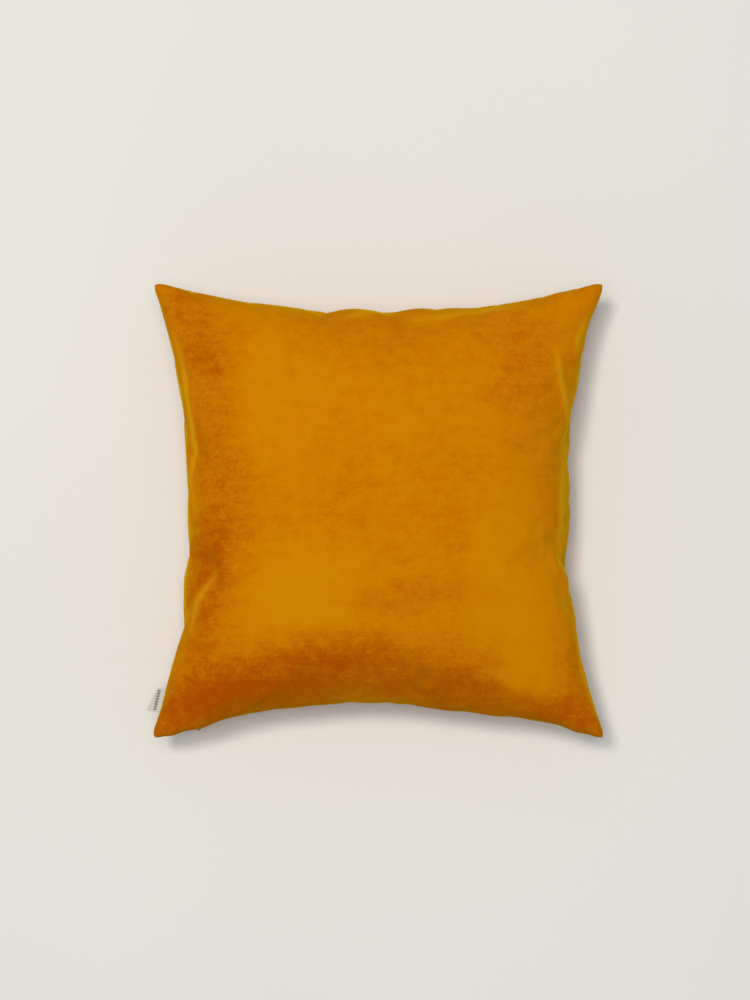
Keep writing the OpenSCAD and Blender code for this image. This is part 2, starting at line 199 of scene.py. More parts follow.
def velvetFinish(name):
    # cut pile: brushed patches, a fine mottle, faint cross streaks and a soft yellow sheen,
    # with painted sheen on the steep rims, ridges and seams, painted light on the right-facing rims and painted
    # shade towards the zip end
    f = Finish(name)
    at = f.place()
    x, y, z = f.axes(at)
    look = velvetLook
    xs = x + (f.noise(at, 11, 3, 0.55) - 0.5) * look["wanderX"]
    ys = y + (f.noise(f.place(turn=(0.7, 0.4, 1.1)), 13, 3, 0.55) - 0.5) * look["wanderY"]
    brushed = None
    for middleX, middleY, halfX, halfY, turn, strength in look["patches"]:
        c, s = math.cos(turn), math.sin(turn)
        across = ((xs - middleX) * c + (ys - middleY) * s) * (1 / halfX)
        along = ((ys - middleY) * c - (xs - middleX) * s) * (1 / halfY)
        far = across * across + along * along
        spot = f.ranged(far, 5.5, 0.0)
        spot = spot * spot * (strength * 0.68)
        brushed = spot if brushed is None else brushed + spot
    front = f.ranged(z, 0.05, 0.075)
    clouds = f.noise(at, look["cloudScale"], 4, 0.6) - 0.5
    streaks = f.noise(f.place(scale=look["streakScale"]), 1.0, 6, 0.72) - 0.5
    fine = f.noise(f.place(scale=(1, 1.5, 1)), look["fineScale"], 3, 0.7) - 0.5
    mottle = f.noise(at, look["mottleScale"], 6, 0.66) - 0.5
    # painted shade: the velvet is mixed darker towards -Y, the zip end
    lower = f.ranged(ys, -0.12, -0.25, 0.0, 0.20)
    rough = streaks * 0.75 + mottle * 0.85 + fine * 0.95
    shade = brushed * front * (mottle * 0.9 + 0.66) + clouds * 0.55 + rough + lower + 0.26
    shade = f.ranged(shade, -0.05, 1.30)
    lighter = (0.04 - brushed * front * 0.8 - clouds * 0.7 - mottle * 0.8 + fine * 0.6).clipped()
    colour = f.mixed(shade, look["plain"], look["dark"])
    colour = f.mixed(lighter, colour, look["light"])
    # painted sheen: steep cloth is mixed to a more yellow colour, as velvet's sheen looks at a grazing view
    facing = f.axes(f.node("ShaderNodeNewGeometry", output="Normal"))
    rim = f.ranged(facing[2].positive(), 0.75, 0.10)
    towardsZip = f.ranged(facing[1], -0.30, -0.75)
    colour = f.mixed(rim * (1 - towardsZip) * 0.70, colour, look["rim"])
    # painted shade: steep cloth facing the zip side is mixed darker, to shadeRim
    colour = f.mixed(towardsZip * 0.55, colour, look["shadeRim"])
    paintedRightLight = rim * f.ranged(facing[0], 0.15, 0.80)  # painted light: steep cloth facing right is mixed lighter
    colour = f.mixed(paintedRightLight * 0.65, colour, look["paintedSheen"])
    # painted sheen highlight along the ridges and just inside the seams, read from its attribute
    paintedSheen = f.node("ShaderNodeAttribute", {"attribute_name": "paintedSheen"}, output="Fac")
    colour = f.mixed((paintedSheen * (mottle * 1.4 + 0.9)).clipped(), colour, look["paintedSheen"])
    pile = f.noise(at, 1300, 2, 0.7) + f.noise(at, 420, 3, 0.6) * 0.9 + streaks * 0.7
    return f.finished(
        Base=colour, Roughness=look["roughness"], Sheen=look["sheen"], Sheen_Roughness=look["sheenSpread"],
        Sheen_Tint=look["sheenTint"], Specular_IOR_Level=0.0,
        Normal=f.bump(pile, look["pileBump"], 0.6))


def wovenFinish(name, light, dark, pitch, source="UV"):
    # plain weave: warp and weft threads pass over each other in turn, pitch metres apart
    f = Finish(name)
    step = math.pi / pitch
    at = f.place(source=source)
    x, y, z = f.axes(at)
    if source == "Object":
        wobble = f.noise(at, 60, 2)
        x = x + (wobble - 0.5) * pitch * 0.8
    warp, weft = (x * step).sine(), (y * step).sine()
    over = (warp * weft * 0.5 + 0.5)
    thread = over * warp.positive() + (1 - over) * weft.positive()
    stain = f.noise(f.place(source="Object"), 25, 4, 0.6) - 0.5
    slub = f.noise(f.place(scale=(6, 1, 1)), 180, 3) - 0.5
    share = (thread * 0.75 + stain * 0.25 + slub * 0.5 + 0.1).clipped()
    return f.finished(
        Base=f.mixed(share, dark, light), Roughness=0.85, Sheen=0.1, Sheen_Roughness=0.5,
        Normal=f.bump(thread + slub * 0.4, 0.00012, 0.7))


def threadFinish(name, light, dark):
    # two plies twisted together, a turn in 1.1 mm: slanting bands along the thread, with a few loose fibres
    f = Finish(name)
    x, y, z = f.axes(f.place(source="UV"))
    twist = ((x * (1 / 0.0011) + y) * (2 * math.pi)).sine()
    fibre = f.noise(f.place(scale=(900, 12, 1), source="UV"), 1.0, 3) - 0.5
    share = (twist * 0.4 + 0.55 + fibre * 0.5).clipped()
    return f.finished(
        Base=f.mixed(share, dark, light), Roughness=f.ranged(share, 0, 1, 0.75, 0.55),
        Sheen=0.15, Normal=f.bump(twist + fibre, 0.00005, 0.6))


def metalFinish(name, light, worn, metallic):
    # lacquered casting: fine orange-peel, rubbed through on corners and streaked by handling
    f = Finish(name)
    at = f.place()
    wear = f.noise(at, 700, 5, 0.65)
    scratch = f.noise(f.place(scale=(300, 4000, 300), turn=(0.2, 0.3, 0.5)), 1.0, 4, 0.7)
    dirt = f.noise(at, 260, 3, 0.5)
    rubbed = f.ranged(wear + scratch * 0.25, 0.66, 0.80)
    dull = tuple(c * 0.62 for c in light[:3]) + (1,)
    colour = f.mixed(rubbed, f.mixed(f.ranged(dirt, 0.35, 0.7), light, dull), worn)
    return f.finished(
        Base=colour, Metallic=metallic,
        Roughness=f.ranged(scratch + dirt * 0.5, 0.4, 1.1, 0.26, 0.50),
        Normal=f.bump(wear * 0.6 + scratch * 0.4, 0.00004, 0.35))


def coilFinish():
    # nylon monofilament: a smooth glossy strand with small draw marks
    f = Finish("coilNylon")
    along = f.noise(f.place(scale=(700, 30, 30), source="UV"), 1.0, 3)
    tint = f.noise(f.place(), 140, 3)
    return f.finished(
        Base=f.mixed(tint, (0.13, 0.03, 0.008, 1), (0.26, 0.07, 0.016, 1)),
        Roughness=f.ranged(along, 0.3, 0.7, 0.24, 0.42), Normal=f.bump(along, 0.00003, 0.4))


labelLook = {
    "ground": (0.64, 0.64, 0.56, 1), "groundShade": (0.40, 0.40, 0.33, 1), "grime": (0.42, 0.40, 0.31, 1),
    "figure": (0.050, 0.045, 0.040, 1),
    "row": 0.0070, "half": 0.0023,  # how far out of the seam the row of figures runs, and its half height
    "pitch": 0.62,  # half a figure's width, as a share of its half height
    "bare": 0.0112,  # where the figures end on both sides of the middle
}


def labelFinish():
    # damask weave: a row of plain hollow lozenges on a pale twill ground, side to side on the label
    f = Finish("labelWeave")
    u, v, w = f.axes(f.place(source="UV"))
    half = labelLook["half"]
    pitch = half * labelLook["pitch"]
    lozenge = u.wrapped(pitch) * (1 / pitch) + (v - labelLook["row"]).positive() * (1 / half)
    edge = f.ranged((u - 0.013).positive(), labelLook["bare"], labelLook["bare"] - 0.0006)
    figure = f.ranged(lozenge, 1.00, 0.90) * f.ranged(lozenge, 0.30, 0.40) * edge
    warp = (u * (math.pi / 0.00028)).sine().positive()
    twill = ((u + v) * (math.pi / 0.00042)).sine()
    ground = f.mixed((warp * 0.5 + twill * 0.2 + 0.3).clipped(), labelLook["groundShade"], labelLook["ground"])
    ground = f.mixed(f.ranged(f.noise(f.place(), 160, 4), 0.45, 0.8, 0, 0.35), ground, labelLook["grime"])
    return f.finished(
        Base=f.mixed(figure, ground, labelLook["figure"]), Roughness=0.66, Sheen=0.12,
        Normal=f.bump(warp * 0.7 + twill * 0.3 + figure * 0.8, 0.00009, 0.6))


def satinFinish():
    # printed satin tape: long floats of thread, with a few plain care rules
    f = Finish("careSatin")
    u, v, w = f.axes(f.place(source="UV"))
    floats = f.noise(f.place(scale=(5200, 160, 1), source="UV"), 1.0, 3)
    rule = f.ranged((v.wrapped(0.0021) - 0.00105).positive(), 0.00088, 0.00098)
    inside = f.ranged((u - 0.014).positive(), 0.0095, 0.0090)
    satin = f.mixed(floats, (0.74, 0.74, 0.71, 1), (0.86, 0.86, 0.83, 1))
    return f.finished(
        Base=f.mixed(rule * inside * 0.55, satin, (0.16, 0.16, 0.17, 1)),
        Roughness=f.ranged(floats, 0.3, 0.7, 0.30, 0.48), Sheen=0.1, Normal=f.bump(floats, 0.00005, 0.5))


def fibreFinish():
    # carded fibre: curled strands in drifts, with thin shadows between them
    f = Finish("fillingFibre")
    at = f.place()
    drift = f.noise(at, 28, 5, 0.65, 1.6)
    strands = f.node("ShaderNodeTexWave", {"wave_type": "BANDS", "bands_direction": "DIAGONAL"}, {
        "Vector": at, "Scale": 220.0, "Distortion": 22.0, "Detail": 4.0, "Detail Scale": 1.4})
    return f.finished(
        Base=f.mixed(f.ranged(drift, 0.3, 0.75), (0.70, 0.70, 0.68, 1), (0.90, 0.90, 0.88, 1)),
        Roughness=0.9, Sheen=0.3, Normal=f.bump(strands * 0.6 + drift, 0.0012, 0.7))


def paperFinish():
    # matt backdrop paper with a faint slanting rib
    f = Finish("backdropPaper")
    x, y, z = f.axes(f.place(turn=(0, 0, 0.62)))
    rib = (y * (math.pi / 0.0024)).sine() * 0.5 + (x * (math.pi / 0.0031)).sine() * 0.2
    tooth = f.noise(f.place(), 340, 4)
    broad = f.ranged(f.noise(f.place(), 1.1, 2), 0.3, 0.7)
    paper = f.mixed(broad, (0.742, 0.716, 0.668, 1), (0.770, 0.742, 0.694, 1))
    return f.finished(
        Base=paper, Roughness=0.95, Specular_IOR_Level=0.1,
        Normal=f.bump(rib * 0.5 + tooth * 0.8, 0.0002, 0.30))


finishes = {
    "velvet": velvetFinish("velvetPile"),
    "backing": wovenFinish("velvetBacking", (0.50, 0.20, 0.02, 1), (0.30, 0.10, 0.01, 1), 0.0007, source="Object"),
    "thread": threadFinish("sewingThread", (0.56, 0.22, 0.012, 1), (0.34, 0.11, 0.006, 1)),
    "tape": wovenFinish("zipTape", (0.26, 0.068, 0.014, 1), (0.12, 0.028, 0.007, 1), 0.00055),
    "tapeThread": threadFinish("tapeThread", (0.26, 0.07, 0.015, 1), (0.13, 0.03, 0.008, 1)),
    "coil": coilFinish(),
    "zipMetal": metalFinish("zipMetal", (0.24, 0.085, 0.028, 1), (0.42, 0.24, 0.13, 1), 0.75),
    "stopMetal": metalFinish("stopMetal", (0.46, 0.43, 0.38, 1), (0.62, 0.60, 0.56, 1), 0.9),
    "label": labelFinish(),
    "satin": satinFinish(),
    "cotton": wovenFinish("insertCotton", (0.82, 0.80, 0.74, 1), (0.58, 0.56, 0.50, 1), 0.0006, source="Object"),
    "insertThread": threadFinish("insertThread", (0.86, 0.85, 0.81, 1), (0.62, 0.60, 0.56, 1)),
    "fibre": fibreFinish(),
    "paper": paperFinish(),
}
print("materials made:", len(finishes))


def gridQuads(rows, columns, start=0, joined=False):
    # quads between neighbouring rows and columns of points; joined closes each row on itself
    index = start + np.arange(rows * columns).reshape(rows, columns)
    if joined:
        index = np.concatenate([index, index[:, :1]], 1)
    return np.stack([index[:-1, :-1], index[1:, :-1], index[1:, 1:], index[:-1, 1:]], -1).reshape(-1, 4)


def makeMesh(name, points, quads, materials, slots=None, uv=None, sharp=None):
    mesh = bpy.data.meshes.new(name)
    mesh.from_pydata(np.asarray(points, float).tolist(), [], [list(q) for q in quads])
    for key in materials:
        mesh.materials.append(finishes[key])
    mesh.polygons.foreach_set("use_smooth", np.ones(len(mesh.polygons), bool))
    if slots is not None:
        mesh.polygons.foreach_set("material_index", np.asarray(slots, np.int32))
    if uv is not None:
        corner = np.empty(len(mesh.loops), np.int32)
        mesh.loops.foreach_get("vertex_index", corner)
        layer = mesh.uv_layers.new(name="cloth")
        layer.data.foreach_set("uv", np.asarray(uv, np.float32)[corner].ravel())
    mesh.update()
    if sharp:
        mesh.set_sharp_from_angle(angle=math.radians(sharp))
    mesh.validate()
    piece = bpy.data.objects.new(name, mesh)
    bpy.context.scene.collection.objects.link(piece)
    return piece


def settle(piece, body, slotName, *nodes):
    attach(piece, body)
    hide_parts(*nodes)


def unit(vectors):
    return vectors / np.maximum(np.linalg.norm(vectors, axis=-1, keepdims=True), 1e-12)


def tube(path, outward, radius, sides, closed=False):
    # ring of points round each point of the path; outward is roughly square to the path, and gives the ring its
    # start. Returns points, faces and uv (length along, share round)
    path = np.asarray(path, float)
    along = unit(np.roll(path, -1, 0) - np.roll(path, 1, 0) if closed else np.gradient(path, axis=0))
    first = unit(outward - (outward * along).sum(1, keepdims=True) * along)
    second = np.cross(along, first)
    angle = np.arange(sides) * 2 * math.pi / sides
    radius = np.broadcast_to(np.asarray(radius, float), (len(path),))
    ring = (first[:, None] * np.cos(angle)[None, :, None] * radius[:, None, None]
            + second[:, None] * np.sin(angle)[None, :, None] * radius[:, None, None])
    points = (path[:, None] + ring).reshape(-1, 3)
    length = np.concatenate([[0], np.cumsum(np.linalg.norm(np.diff(path, axis=0), axis=1))])
    uv = np.stack([np.repeat(length, sides), np.tile(np.arange(sides) / sides, len(path))], -1)
    quads = [list(q) for q in gridQuads(len(path), sides, joined=True)]
    last, around = len(points) - sides, range(sides)
    if closed:
        quads += [[last + i, i, (i + 1) % sides, last + (i + 1) % sides] for i in around]
    else:
        quads += [list(around), [last + i for i in reversed(around)]]
    return points, quads, uv


def joinParts(parts):
    # several (points, quads, uv) as one
    points, quads, uv, base = [], [], [], 0
    for p, q, t in parts:
        points.append(p)
        quads += [[i + base for i in face] for face in q]
        uv.append(t)
        base += len(p)
    return np.concatenate(points), quads, np.concatenate(uv)


def outwards(piece):
    # turns the faces outwards, which pieces made of many closed tubes need
    work = bmesh.new()
    work.from_mesh(piece.data)
    bmesh.ops.recalc_face_normals(work, faces=work.faces)
    work.to_mesh(piece.data)
    work.free()
    piece.data.update()
    return piece


def threadPiece(name, parts, key, slotName, node):
    # one piece of the pillow from several tubes
    points, quads, uv = joinParts(parts)
    settle(outwards(makeMesh(name, points, quads, [key], uv=uv)), "pillow", slotName, node)


cushion = {
    "halfWidth": 0.237, "halfHeight": 0.240, "seamHeight": 0.064, "frontRise": 0.082, "backRise": 0.072,
    "bowLeft": 0.034, "bowRight": 0.040, "bowTop": 0.030, "bowZip": 0.042,
    "planPower": 2.6, "crownPower": 0.5,
    "seamGap": 0.0003, "zipGap": 0.0010, "zipGapEnd": (0.191, 0.207),
    "thick": 0.001,  # of the velvet
    "rest": 0.0022,  # how softly the back flattens on the floor
    "cells": 184,  # cells across a panel of the cover
    "tipOut": 0.013, "tipReach": 0.13,  # the corners stand out a little, with their fold of cloth
    "tipRound": 0.019, "tipWidth": 0.030,  # and their points are rounded off
}
zipRadius = (cushion["halfWidth"] ** 2 + cushion["bowZip"] ** 2) / (2 * cushion["bowZip"])
zipCentreY = cushion["bowZip"] - cushion["halfHeight"] - zipRadius


def bentSquare(u, v, inset):
    # each side of the square is drawn in by its bow, fully in the middle and not at all at the corners:
    # parabolas left, right and far, a true arc along the zip; then everything is drawn in by inset
    c = cushion
    bowX = np.where(u < 0, c["bowLeft"], c["bowRight"]) * (1 - v * v)
    arc = np.sqrt(zipRadius ** 2 - (u * c["halfWidth"]) ** 2) - zipRadius + c["bowZip"]
    bowY = np.where(v > 0, c["bowTop"] * (1 - u * u), arc)
    far = 1 - np.abs(u * v)
    out = c["tipOut"] * (0.9 - 0.3 * v) * np.exp(-far / c["tipReach"])
    tip = 1 + out - c["tipRound"] * np.exp(-(far / c["tipWidth"]) ** 2)
    return u * (c["halfWidth"] - inset - bowX) * tip, v * (c["halfHeight"] - inset - bowY) * tip


def crownShare(u, v):
    # 1 in the middle and 0 at the edge, the root of the product of two power curves
    p = cushion["planPower"]
    inner = np.maximum(0, (1 - np.abs(u) ** p) * (1 - np.abs(v) ** p))
    return inner ** cushion["crownPower"]


def seamShare(u):
    # -1 to 1 over a panel, with more of it near the seams, where u and v change fast along the cloth
    return np.arcsin(np.clip(u, -1, 1)) * 2 / math.pi


def softStep(x, low, high):
    t = np.clip((x - low) / (high - low), 0, 1)
    return t * t * (3 - 2 * t)


cloth = {
    "cells": 72, "cut": 0.5, "high": 0.082, "low": 0.068, "frames": 30, "morphFrames": 10, "volumeShare": 0.9,
    "pressure": 2.0, "pressureFactor": 20.0, "stiffness": 40.0, "shear": 10.0, "bending": 5.0, "airDrag": 10.0,
    "smoothing": 4.5,  # cells; wider folds than this stay with the plain shape
    "share": 0.42,  # how much of the simulated folds the cover keeps
    "limit": 0.011,  # the furthest that a fold may move the cloth
}


def panelIndices(n):
    # point numbers of the front and the back, which share their boundary
    front = np.arange((n + 1) ** 2).reshape(n + 1, n + 1)
    inner = np.ones((n + 1, n + 1), bool)
    inner[0] = inner[-1] = inner[:, 0] = inner[:, -1] = False
    back = front.copy()
    back[inner] = (n + 1) ** 2 + np.arange(inner.sum())
    return front, back, inner


def relaxCloth():
    # Two flat panels joined round the edge grow to the plain cushion shape on soft springs, then the springs let
    # go and the air inside holds them, which leaves the folds that square panels make when they are stuffed
    n, c = cloth["cells"], cloth
    g = np.linspace(-1, 1, n + 1)
    u, v = np.meshgrid(g, g, indexing="ij")
    x, y = bentSquare(u, v, 0)
    rise = crownShare(u, v)
    front, back, inner = panelIndices(n)
    thin = 0.0001 * (1 - u ** 2) * (1 - v ** 2)

    def bothSides(px, py, high, low):
        top = np.stack([px, py, high], -1).reshape(-1, 3)
        bottom = np.stack([px, py, low], -1).reshape(-1, 3)
        return np.concatenate([top, bottom[inner.ravel()]])

    flat = bothSides(u * c["cut"] / 2, v * c["cut"] / 2, thin, -thin)
    full = bothSides(x, y, c["high"] * rise, -c["low"] * rise)
    quads = gridQuads(n + 1, n + 1)
    faces = np.concatenate([quads, back.ravel()[quads][:, ::-1]])
    mesh = bpy.data.meshes.new("clothWork")
    mesh.from_pydata(flat.tolist(), [], faces.tolist())
    piece = bpy.data.objects.new("clothWork", mesh)
    scene = bpy.context.scene
    scene.collection.objects.link(piece)
    piece.shape_key_add(name="Basis")
    key = piece.shape_key_add(name="full")
    key.data.foreach_set("co", full.astype(np.float32).ravel())
    held = piece.vertex_groups.new(name="held")
    held.add(list(range(len(flat))), 0.5, "REPLACE")
    held.add([int(i) for i in front[:, 0]], 1.0, "REPLACE")
    modifier = piece.modifiers.new("Cloth", "CLOTH")
    s = modifier.settings
    s.quality, s.mass, s.air_damping = 6, 0.3, c["airDrag"]
    s.tension_stiffness = s.compression_stiffness = c["stiffness"]
    s.shear_stiffness, s.bending_stiffness = c["shear"], c["bending"]
    s.tension_damping = s.compression_damping = s.shear_damping = 5
    s.bending_damping = 0.5
    s.vertex_group_mass = "held"
    s.use_pressure, s.uniform_pressure_force = True, c["pressure"]
    a, b, d, e = (full[faces[:, i]] for i in range(4))
    volume = (np.einsum("ij,ij->i", a, np.cross(b, d)).sum() + np.einsum("ij,ij->i", a, np.cross(d, e)).sum()) / 6
    s.use_pressure_volume, s.target_volume, s.pressure_factor = True, volume * c["volumeShare"], c["pressureFactor"]
    s.effector_weights.gravity = 0
    modifier.collision_settings.use_collision = False
    last, morph = c["frames"], c["morphFrames"]
    modifier.point_cache.frame_start, modifier.point_cache.frame_end = 1, last
    scene.frame_start, scene.frame_end = 1, last
    key.value = 0
    key.keyframe_insert("value", frame=1)
    key.value = 1
    key.keyframe_insert("value", frame=1 + morph)
    s.pin_stiffness = 5
    s.keyframe_insert("pin_stiffness", frame=morph + 1)
    s.pin_stiffness = 0
    s.keyframe_insert("pin_stiffness", frame=morph + 4)
    for number in range(1, last + 1):
        scene.frame_set(number)
    shown = piece.evaluated_get(bpy.context.evaluated_depsgraph_get())
    relaxed = shown.to_mesh()
    points = np.empty(len(relaxed.vertices) * 3, np.float32)
    relaxed.vertices.foreach_get("co", points)
    shown.to_mesh_clear()
    scene.frame_set(1)
    bpy.data.objects.remove(piece)
    bpy.data.meshes.remove(mesh)
    points = points.reshape(-1, 3).astype(float)
    return points[front], points[back]


def blurred(grid, width):
    # Gaussian average along both axes. Beyond an edge the grid goes on point-mirrored, so edges stay in place
    reach = int(3 * width)
    weight = np.exp(-0.5 * (np.arange(-reach, reach + 1) / width) ** 2)
    weight /= weight.sum()
    for axis in (0, 1):
        g = np.moveaxis(grid, axis, 0)
        low = 2 * g[:1] - g[1:reach + 1][::-1]
        high = 2 * g[-1:] - g[-reach - 1:-1][::-1]
        long = np.concatenate([low, g, high])
        g = sum(w * long[i:i + len(g)] for i, w in enumerate(weight))
        grid = np.moveaxis(g, 0, axis)
    return grid


def simulatedFolds():
    # what the relaxed cloth does beyond its own smooth shape, on the front and on the back
    folds = []
    for grid in relaxCloth():
        extra = (grid - blurred(grid, cloth["smoothing"])) * cloth["share"]
        size = np.linalg.norm(extra, axis=-1, keepdims=True)
        folds.append(extra * np.tanh(size / cloth["limit"]) * cloth["limit"] / np.maximum(size, 1e-9))
    return folds


folds = simulatedFolds()
print("cloth relaxed")


def sampleGrid(grid, s, t):
    # cubic (Catmull-Rom) reading of a grid of points at s, t from -1 to 1
    n = grid.shape[0] - 1

    def reading(value):
        place = np.clip((value + 1) / 2 * n, 0, n - 1e-9)
        low = np.floor(place).astype(int)
        f = place - low
        weights = [((-f + 2) * f - 1) * f / 2, ((3 * f - 5) * f * f + 2) / 2,
                   ((-3 * f + 4) * f + 1) * f / 2, (f - 1) * f * f / 2]
        return [(np.clip(low + i - 1, 0, n), weight) for i, weight in enumerate(weights)]

    return sum((first * second)[..., None] * grid[row, column]
               for row, first in reading(s) for column, second in reading(t))


# Creases where the seam pulls in, on each side: place along it (-1 to 1), half width of the crease, then in metres
# how far the seam comes in and up, and how far the front and back panels stand out beside it
creases = {
    "right": [
        (0.08, 0.2, 0.003, 0.012, -0.002, 0.005), (0.4, 0.05, 0.005, 0.002, 0.001, 0.001),
        (-0.215, 0.045, 0.0085, 0.003, -0.002, 0.0), (0.52, 0.07, -0.001, -0.004, 0.001, 0.0),
        (-0.36, 0.08, -0.003, -0.004, 0.003, 0.0), (-0.62, 0.07, 0.0015, 0.002, 0.0, 0.001),
        (0.79, 0.085, 0.006, 0.0, 0.0, 0.0), (0.02, 0.08, -0.002, 0.0, 0.0, 0.005),
    ],
    "left": [
        (0.25, 0.42, 0.003, 0.009, -0.002, 0.002), (-0.23, 0.17, 0.0045, 0.01, -0.001, 0.002),
        (-0.5, 0.05, 0.006, 0.002, -0.001, -0.001), (0.62, 0.06, 0.0015, 0.002, 0.0, 0.001),
        (0.62, 0.3, 0.0035, 0.0, 0.0, 0.0), (-0.57, 0.1, 0.004, 0.0, 0.0, 0.0),
    ],
    "top": [
        (0.62, 0.12, 0.0025, 0.0, 0.0, 0.0), (-0.26, 0.05, 0.0035, 0.003, 0.0, 0.002),
        (-0.1, 0.06, -0.002, -0.004, 0.003, 0.0), (0.02, 0.045, 0.002, 0.004, 0.0, 0.002),
        (0.2, 0.08, -0.001, -0.003, 0.002, 0.0), (0.42, 0.09, 0.0025, 0.006, 0.0, 0.003),
        (-0.62, 0.07, 0.0012, 0.002, 0.0, 0.001),
    ],
}
# Along the zip the seam stays on its arc, and only the panels bulge over it: place, half width, front, back
zipBulges = [
    (-0.36, 0.1, 0.0045, 0.001), (-0.16, 0.06, 0.0028, 0.0), (-0.03, 0.045, 0.0035, 0.0),
    (0.1, 0.05, 0.003, 0.001), (0.24, 0.08, 0.0062, 0.0), (0.4, 0.08, 0.0062, 0.001),
    (0.56, 0.07, 0.0055, 0.0), (-0.58, 0.06, 0.003, 0.001), (0.72, 0.06, 0.003, 0.0), (-0.79, 0.075, 0.006, 0.001),
    (0.87, 0.05, 0.003, 0.001), (-0.91, 0.04, 0.003, 0.001),
]
# Soft ridges on the front where the cloth turns over towards its seam: height, half width, strength of the painted
# sheen highlight along the ridge top, then the line in plan
ridges = [
    (0.0012, 0.0036, 0.75, [(-0.216, 0.189), (-0.207, 0.157), (-0.201, 0.117), (-0.196, 0.091), (-0.194, 0.064),
                            (-0.198, 0.033), (-0.193, -0.001), (-0.197, -0.009)]),
    (0.0013, 0.0045, 0.55, [(-0.166, -0.059), (-0.177, -0.075), (-0.19, -0.094), (-0.197, -0.12), (-0.2, -0.131)]),
    (0.001, 0.0035, 0.6, [(-0.038, 0.197), (-0.018, 0.202), (0.001, 0.206), (0.014, 0.209)]),
    (0.001, 0.004, 0.5, [(0.017, 0.203), (0.038, 0.199), (0.056, 0.198), (0.071, 0.2), (0.09, 0.206),
                            (0.11, 0.21), (0.133, 0.211), (0.158, 0.214)]),
    (0.0014, 0.0038, 0.7, [(0.184, 0.168), (0.187, 0.147), (0.191, 0.125), (0.196, 0.104), (0.199, 0.085)]),
    (0.0008, 0.004, 0.6, [(0.219, 0.203), (0.213, 0.191), (0.207, 0.178), (0.205, 0.16)]),
    (0.0014, 0.0036, 0.75, [(0.196, 0.066), (0.193, 0.04), (0.191, 0.01), (0.191, -0.02), (0.194, -0.048)]),
    (0.001, 0.0045, 0.6, [(0.201, -0.07), (0.206, -0.1), (0.209, -0.135), (0.215, -0.172), (0.224, -0.205),
                            (0.233, -0.228)]),
    (0.0008, 0.0055, 0.25, [(-0.15, 0.222), (-0.1, 0.213), (-0.06, 0.207)]),
    (0.0006, 0.006, 0.2, [(-0.06, -0.193), (0.0, -0.189), (0.06, -0.192)]),
]


def ridgeAt(x, y):
    # height of the ridges and strength of their painted sheen highlight at a place in plan: a bell across each line,
    # with a shallow hollow on both sides (1.5 * exp(-d^2) - 0.5 * exp(-(d / 2.2)^2)), that fades towards the line's
    # ends
    height, bright = 0 * x, 0 * x
    for high, half, glow, line in ridges:
        line = np.asarray(line, float)
        best, share = np.full(x.shape, 1e9), 0 * x
        lengths = np.linalg.norm(np.diff(line, axis=0), axis=1)
        total, gone = lengths.sum(), 0.0
        for start, end, length in zip(line, line[1:], lengths):
            way = (end - start) / length
            along = np.clip((x - start[0]) * way[0] + (y - start[1]) * way[1], 0, length)
            far = np.hypot(x - start[0] - along * way[0], y - start[1] - along * way[1])
            nearer = far < best
            best = np.where(nearer, far, best)
            share = np.where(nearer, (gone + along) / total, share)
            gone += length
        fade = np.sin(np.clip(share, 0, 1) * math.pi) ** 0.6
        d = best / half
        height = height + high * fade * (1.5 * np.exp(-d * d) - 0.5 * np.exp(-(d / 2.2) ** 2))
        bright = np.maximum(bright, glow * fade * np.exp(-(d / 0.9) ** 2))
    return height, bright


# how deep into the panel a crease and its bulge reach, and the depth at which a crease is twice as wide
creaseReach = {"seam": 0.10, "panel": 0.16, "zip": 0.13, "fan": 0.35}
sideAxes = {"right": (0, 1), "left": (0, -1), "top": (1, 1)}
labelPlace = {"v": -201 / 240, "half": 0.062}


def creaseBell(along, place, half, depth):
    return np.exp(-((along - seamShare(place)) / (half * (1 + depth / creaseReach["fan"]))) ** 2)


def reliefAt(s, t, side):
    # How far the cloth stands from the plain cushion at s, t: the simulated folds, faded out at the zip and the
    # label, then each crease as a bell along its side that dies away into the panel and spreads like a fan
    extra = sampleGrid(folds[0 if side > 0 else 1], s, t)
    quiet = softStep(t, -0.995, -0.80)
    quiet = quiet * (1 - np.exp(-((t - seamShare(labelPlace["v"])) / labelPlace["half"]) ** 2)
                     * softStep(-s, 0.75, 0.98))
    extra = extra * quiet[..., None]
    for name, rows in creases.items():
        axis, sign = sideAxes[name]
        along, across = (t, s) if axis == 0 else (s, t)
        depth = np.maximum(1 - sign * across, 0)
        p = depth / creaseReach["panel"]
        for place, half, inwards, lift, bulgeFront, bulgeBack in rows:
            bell = creaseBell(along, place, half, depth)
            near = bell * np.exp(-depth / creaseReach["seam"]) * (quiet if axis == 0 else 1)
            bulge = (bulgeFront if side > 0 else bulgeBack) * bell * p * p * np.exp(2 - 2 * p)
            extra[..., axis] += sign * (bulge - inwards * near)
            extra[..., 2] += lift * near
    depth = np.maximum(1 + t, 0)
    p = depth / creaseReach["zip"]
    for place, half, bulgeFront, bulgeBack in zipBulges:
        bell = creaseBell(s, place, half, depth)
        extra[..., 1] -= (bulgeFront if side > 0 else bulgeBack) * bell * (p * p * np.exp(2 - 2 * p))
    return extra


